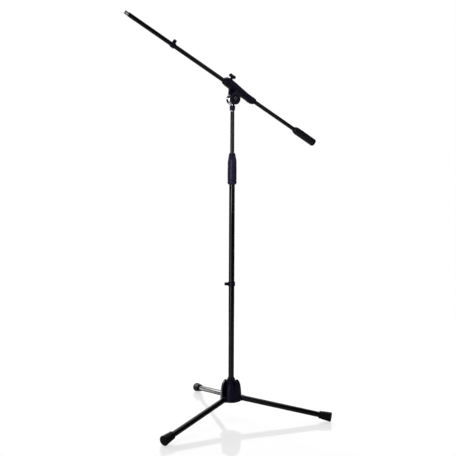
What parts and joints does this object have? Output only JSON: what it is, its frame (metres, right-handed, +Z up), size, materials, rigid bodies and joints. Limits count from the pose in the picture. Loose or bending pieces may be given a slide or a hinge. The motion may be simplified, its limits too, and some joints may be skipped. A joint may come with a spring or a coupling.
{
  "type": "boom microphone stand",
  "caption": "Folding tripod microphone stand: telescoping column with a grip clutch, and a tilting, sliding boom arm with a counterweight and cable clips.",
  "frame": {"origin": "on the floor, below the middle of the model's bounding box", "axes": "+Z up, parallel to the column; +X from the microphone end of the boom towards its counterweight; +Y away from the tilt knob's side"},
  "size_m": [0.829, 0.6294, 1.4964],
  "materials": {
    "black_paint": "glossy black enamel on steel tube",
    "casting": "satin black powder coat on a die casting",
    "weight_paint": "satin black paint on a steel weight",
    "black_plastic": "satin moulded black plastic",
    "rubber": "smooth dark rubber",
    "bright_steel": "bright plated steel",
    "dark_steel": "black oxide steel fasteners",
    "nylon": "dark self-lubricating plastic"
  },
  "bodies": {
    "base": {"hub": "casting", "hub_base_plate": "black_plastic", "hub_base_screw": "dark_steel", "column_foot_plug": "nylon", "lower_tube": "black_paint", "clutch_base": "black_plastic", "clutch_collet": "nylon", "leg_1_bolt": "dark_steel", "leg_1_nut": "dark_steel", "leg_2_bolt": "dark_steel", "leg_2_nut": "dark_steel", "leg_3_bolt": "dark_steel", "leg_3_nut": "dark_steel"},
    "leg_1": {"leg_1_hinge_block": "casting", "leg_1_tube": "black_paint", "leg_1_foot": "rubber"},
    "leg_2": {"leg_2_hinge_block": "casting", "leg_2_tube": "black_paint", "leg_2_foot": "rubber"},
    "leg_3": {"leg_3_hinge_block": "casting", "leg_3_tube": "black_paint", "leg_3_foot": "rubber"},
    "clutch_sleeve": {"clutch_grip": "black_plastic"},
    "cable_clip_column": {"column_clip": "black_plastic"},
    "tube_guide": {"guide_sleeve": "nylon"},
    "column": {"upper_tube": "black_paint", "upper_tube_end_plug": "nylon", "column_stud": "bright_steel", "swivel_base": "bright_steel", "near_friction_washer": "rubber", "far_friction_washer": "rubber"},
    "lock_nut": {"swivel_nut": "black_plastic"},
    "head": {"boom_clamp": "black_plastic", "tilt_bolt": "dark_steel", "thumb_screw_pad": "nylon"},
    "knob": {"tilt_knob": "black_plastic"},
    "wing_screw": {"thumb_screw": "black_plastic"},
    "liner": {"boom_liner": "nylon"},
    "boom": {"boom_tube": "black_paint", "mic_thread": "bright_steel", "counterweight": "weight_paint", "counterweight_cap": "rubber", "counterweight_screw": "dark_steel"},
    "cable_clip_boom": {"boom_clip": "black_plastic"}
  },
  "joints": [
    {"name": "leg_1_fold", "type": "hinge", "parent": "base", "child": "leg_1", "pos_m": [-0.00218, -0.08151, 0.08], "axis": [-0.3955, 0.9184, 0], "range_deg": [0, 99]},
    {"name": "leg_2_fold", "type": "hinge", "parent": "base", "child": "leg_2", "pos_m": [0.04255, -0.08677, 0.08], "axis": [-0.5976, -0.8018, 0], "range_deg": [0, 99]},
    {"name": "leg_3_fold", "type": "hinge", "parent": "base", "child": "leg_3", "pos_m": [0.02473, -0.04541, 0.08], "axis": [0.9932, -0.1167, 0], "range_deg": [0, 99]},
    {"name": "clutch_turn", "type": "hinge", "parent": "base", "child": "clutch_sleeve", "pos_m": [0.0217, -0.07123, 0.96], "axis": [0, 0, 1], "range_deg": [0, 120]},
    {"name": "column_clip_slide", "type": "slide", "parent": "base", "child": "cable_clip_column", "axis": [0, 0, 1], "range_m": [-0.3, 0.35]},
    {"name": "column_height", "type": "slide", "parent": "base", "child": "tube_guide", "axis": [0, 0, 1], "range_m": [-0.15, 0.42]},
    {"name": "column_swivel", "type": "hinge", "parent": "tube_guide", "child": "column", "pos_m": [0.0217, -0.07123, 0.45], "axis": [0, 0, 1], "continuous": true},
    {"name": "lock_nut_turn", "type": "hinge", "parent": "column", "child": "lock_nut", "pos_m": [0.0217, -0.07123, 1.19], "axis": [0, 0, 1], "range_deg": [0, 180]},
    {"name": "boom_tilt", "type": "hinge", "parent": "column", "child": "head", "pos_m": [0.0217, -0.07123, 1.2245], "axis": [0, 1, 0], "range_deg": [-115, 60]},
    {"name": "tilt_knob_turn", "type": "hinge", "parent": "head", "child": "knob", "pos_m": [0.0217, -0.09223, 1.2245], "axis": [0, 1, 0], "range_deg": [0, 180]},
    {"name": "wing_screw_turn", "type": "hinge", "parent": "head", "child": "wing_screw", "pos_m": [0.01925, -0.07123, 1.30791], "axis": [0.4473, 0, 0.8944], "range_deg": [0, 180]},
    {"name": "boom_roll", "type": "hinge", "parent": "head", "child": "liner", "pos_m": [0.04116, -0.07123, 1.26341], "axis": [-0.8944, 0, 0.4473], "continuous": true},
    {"name": "boom_slide", "type": "slide", "parent": "liner", "child": "boom", "axis": [-0.8944, 0, 0.4473], "range_m": [-0.2, 0.2]},
    {"name": "boom_clip_slide", "type": "slide", "parent": "boom", "child": "cable_clip_boom", "axis": [0.8944, 0, -0.4473], "range_m": [-0.15, 0.2]}
  ]
}
